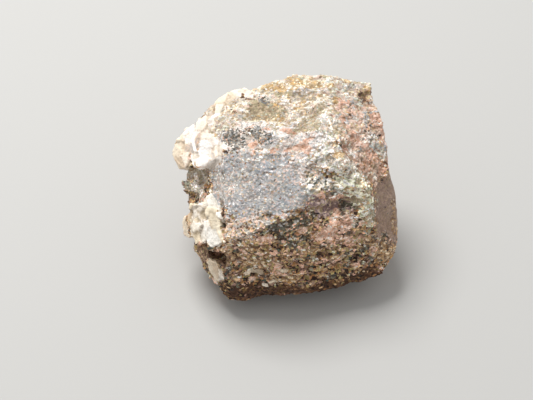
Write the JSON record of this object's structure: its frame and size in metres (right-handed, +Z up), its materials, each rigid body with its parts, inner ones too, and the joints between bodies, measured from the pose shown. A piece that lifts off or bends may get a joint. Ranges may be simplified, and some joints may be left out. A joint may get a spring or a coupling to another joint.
{
  "type": "thorite specimen",
  "caption": "Blocky hand specimen of granular thorite-bearing rock with pale feldspar crystals along one side, resting on a flat spot as a display, props or collection stone.",
  "frame": {"origin": "on the surface that the stone rests on, under the middle of its bounding box", "axes": "+Z up; +X to the right, away from the pale crystals; +Y away from someone who looks at the grey face"},
  "size_m": [0.05, 0.0402, 0.0364],
  "materials": {
    "rock": "rough broken rock"
  },
  "bodies": {
    "root": {"thorite_specimen": "rock"}
  },
  "joints": []
}
